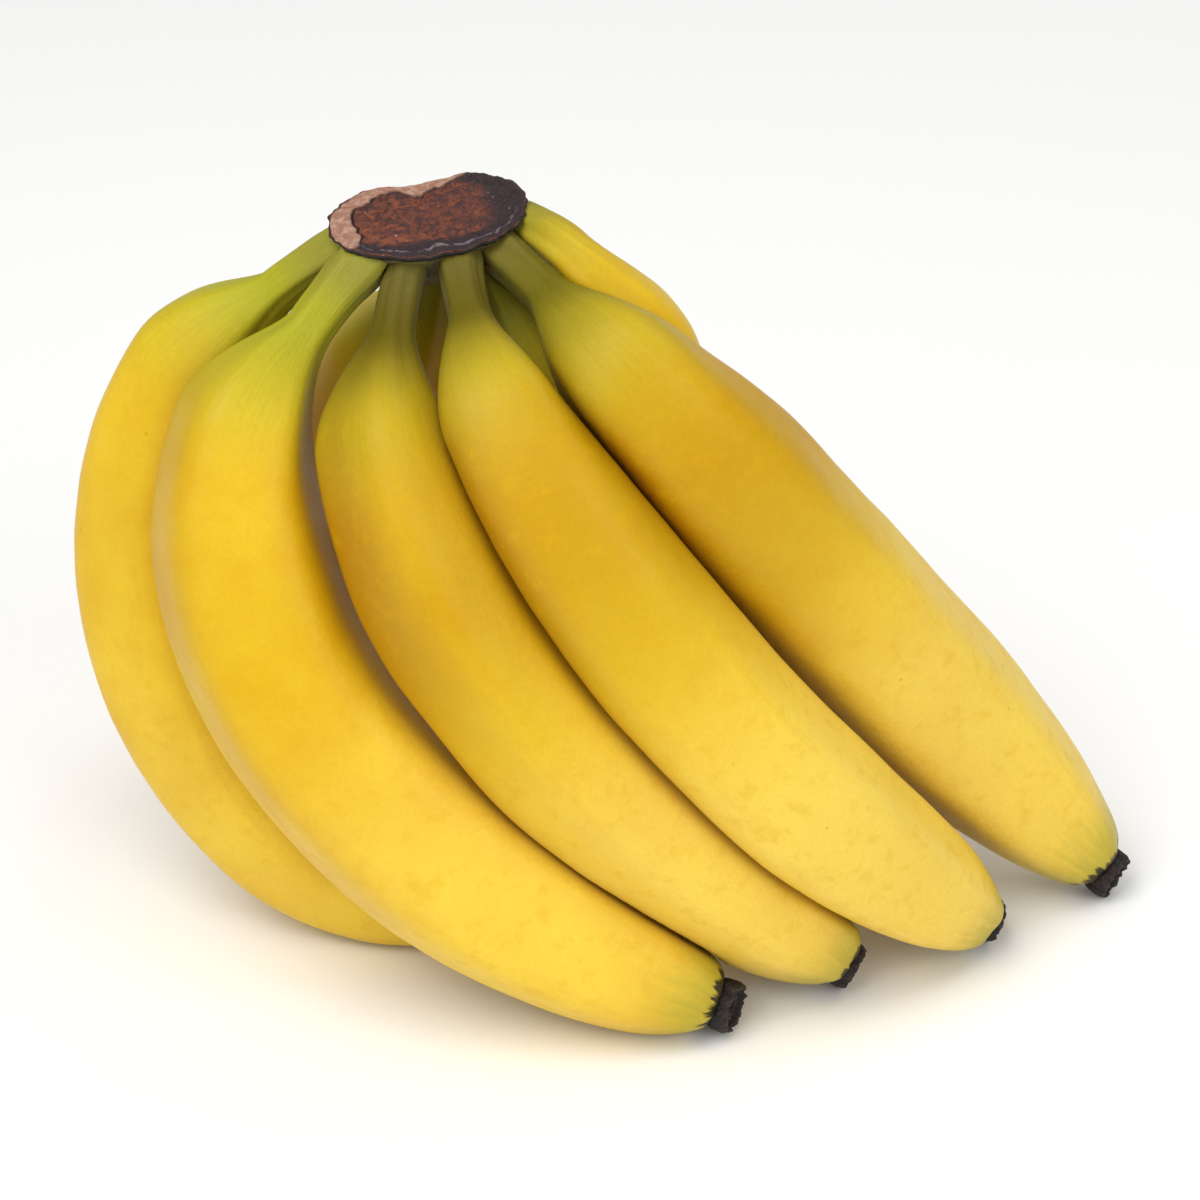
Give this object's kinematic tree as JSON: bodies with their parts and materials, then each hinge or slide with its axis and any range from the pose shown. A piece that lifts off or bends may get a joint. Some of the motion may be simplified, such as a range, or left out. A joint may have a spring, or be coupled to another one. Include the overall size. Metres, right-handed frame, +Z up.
{
  "type": "bunch of bananas",
  "caption": "Cut hand of ripe curved bananas in two rows on one dried crown, resting on its finger tips.",
  "frame": {"origin": "centre of the bounding box in plan, on the surface that the bunch rests on", "axes": "+Z up, +X along the bunch's longest extent towards the finger tips, -Y towards the outer row's convex side"},
  "size_m": [0.2188, 0.1514, 0.1626],
  "materials": {
    "banana_peel": "satin ripe yellow peel, green at the stems",
    "crown_cut": "rough dried brown cut face",
    "blossom_dried": "matt black dried flower remnant"
  },
  "bodies": {
    "root": {"crown": "crown_cut", "finger_outer_1": "banana_peel", "finger_outer_2": "banana_peel", "finger_outer_3": "banana_peel", "finger_outer_4": "banana_peel", "finger_inner_1": "banana_peel", "finger_inner_2": "banana_peel", "finger_inner_3": "banana_peel", "finger_inner_4": "banana_peel", "blossom_end_outer_1": "blossom_dried", "blossom_end_outer_2": "blossom_dried", "blossom_end_outer_3": "blossom_dried", "blossom_end_outer_4": "blossom_dried", "blossom_end_inner_1": "blossom_dried", "blossom_end_inner_2": "blossom_dried", "blossom_end_inner_3": "blossom_dried", "blossom_end_inner_4": "blossom_dried"}
  },
  "joints": []
}
